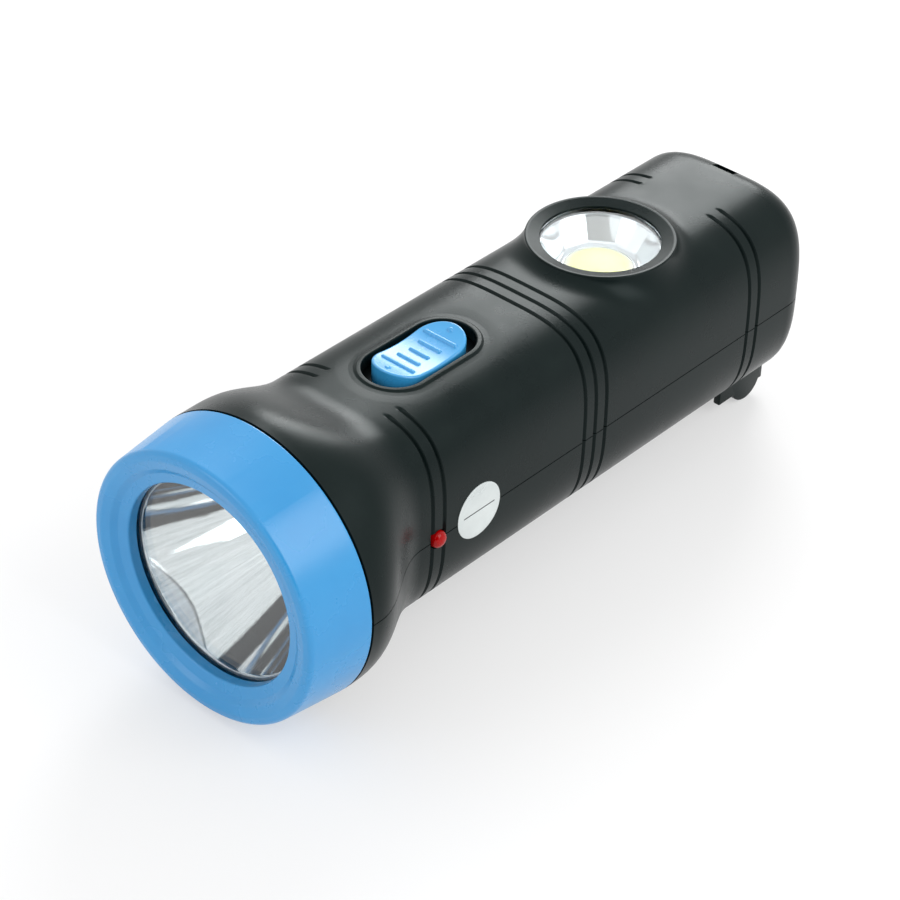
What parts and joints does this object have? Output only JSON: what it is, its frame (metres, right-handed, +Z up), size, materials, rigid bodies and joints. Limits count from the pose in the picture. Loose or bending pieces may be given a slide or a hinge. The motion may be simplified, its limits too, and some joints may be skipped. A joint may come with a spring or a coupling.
{
  "type": "flashlight",
  "caption": "Rechargeable hand torch with a round head, a thumb slider, a round lamp on the top and a plug that folds out from under the tail.",
  "frame": {"origin": "on the ground under the middle of the torch, which lies on its round head and on the cheeks of its plug", "axes": "+Y from the lens to the tail along the lens axis, +Z up towards the switch and the side lamp, +X towards the charge light"},
  "size_m": [0.0494, 0.1324, 0.0494],
  "materials": {
    "black_plastic": "satin moulded",
    "blue_plastic": "glossy moulded",
    "clear_plastic": "clear polished",
    "chrome_plating": "vacuum plated",
    "led_resin": "clear resin",
    "aluminium_board": "matte",
    "zinc_steel": "zinc plated",
    "dark_plastic": "moulded",
    "white_plating": "white plated",
    "phosphor_yellow": "matte silicone",
    "red_epoxy": "translucent",
    "tinned": "tinned",
    "board_laminate": "solder mask",
    "capacitor_resin": "dipped",
    "resistor_lacquer": "lacquered",
    "battery_case": "moulded",
    "plated_brass": "nickel plated",
    "red_insulation": "extruded",
    "black_insulation": "extruded",
    "silver_film": "satin film"
  },
  "bodies": {
    "case": {"upper_shell": "black_plastic", "lower_shell": "black_plastic", "bezel_ring": "blue_plastic", "front_lens": "clear_plastic", "main_reflector": "chrome_plating", "main_led": "led_resin", "main_led_board": "aluminium_board", "switch_body": "zinc_steel", "cob_reflector": "white_plating", "cob_lens": "clear_plastic", "cob_board": "aluminium_board", "cob_phosphor": "phosphor_yellow", "cob_screw_front": "zinc_steel", "cob_screw_rear": "zinc_steel", "case_screw_1": "zinc_steel", "case_screw_2": "zinc_steel", "case_screw_3": "zinc_steel", "case_screw_4": "zinc_steel", "charge_led": "red_epoxy", "charge_led_lead_a": "tinned", "charge_led_lead_b": "tinned", "control_board": "board_laminate", "dropper_capacitor": "capacitor_resin", "rectifier_diode_1": "dark_plastic", "rectifier_diode_2": "dark_plastic", "rectifier_diode_3": "dark_plastic", "rectifier_diode_4": "dark_plastic", "bleed_resistor": "resistor_lacquer", "limit_resistor": "resistor_lacquer", "battery": "battery_case", "battery_tab_plus": "plated_brass", "battery_tab_minus": "plated_brass", "plug_axle": "zinc_steel", "plug_contact_left": "plated_brass", "plug_contact_right": "plated_brass", "main_led_wire_plus": "red_insulation", "main_led_wire_minus": "black_insulation", "battery_wire_plus": "red_insulation", "battery_wire_minus": "black_insulation", "cob_wire_plus": "red_insulation", "cob_wire_minus": "black_insulation", "plug_wire_left": "black_insulation", "plug_wire_right": "red_insulation", "round_sticker": "silver_film"},
    "switch": {"switch_slider": "blue_plastic", "switch_lever": "dark_plastic"},
    "plug": {"plug_hub": "dark_plastic", "plug_blade_left": "plated_brass", "plug_blade_right": "plated_brass"}
  },
  "joints": [
    {"name": "switch_slide", "type": "slide", "parent": "case", "child": "switch", "axis": [0, 1, 0], "range_m": [-0.0018, 0.0018]},
    {"name": "plug_hinge", "type": "hinge", "parent": "case", "child": "plug", "pos_m": [0, 0.06145, 0.004], "axis": [1, 0, 0], "range_deg": [0, 90]}
  ]
}
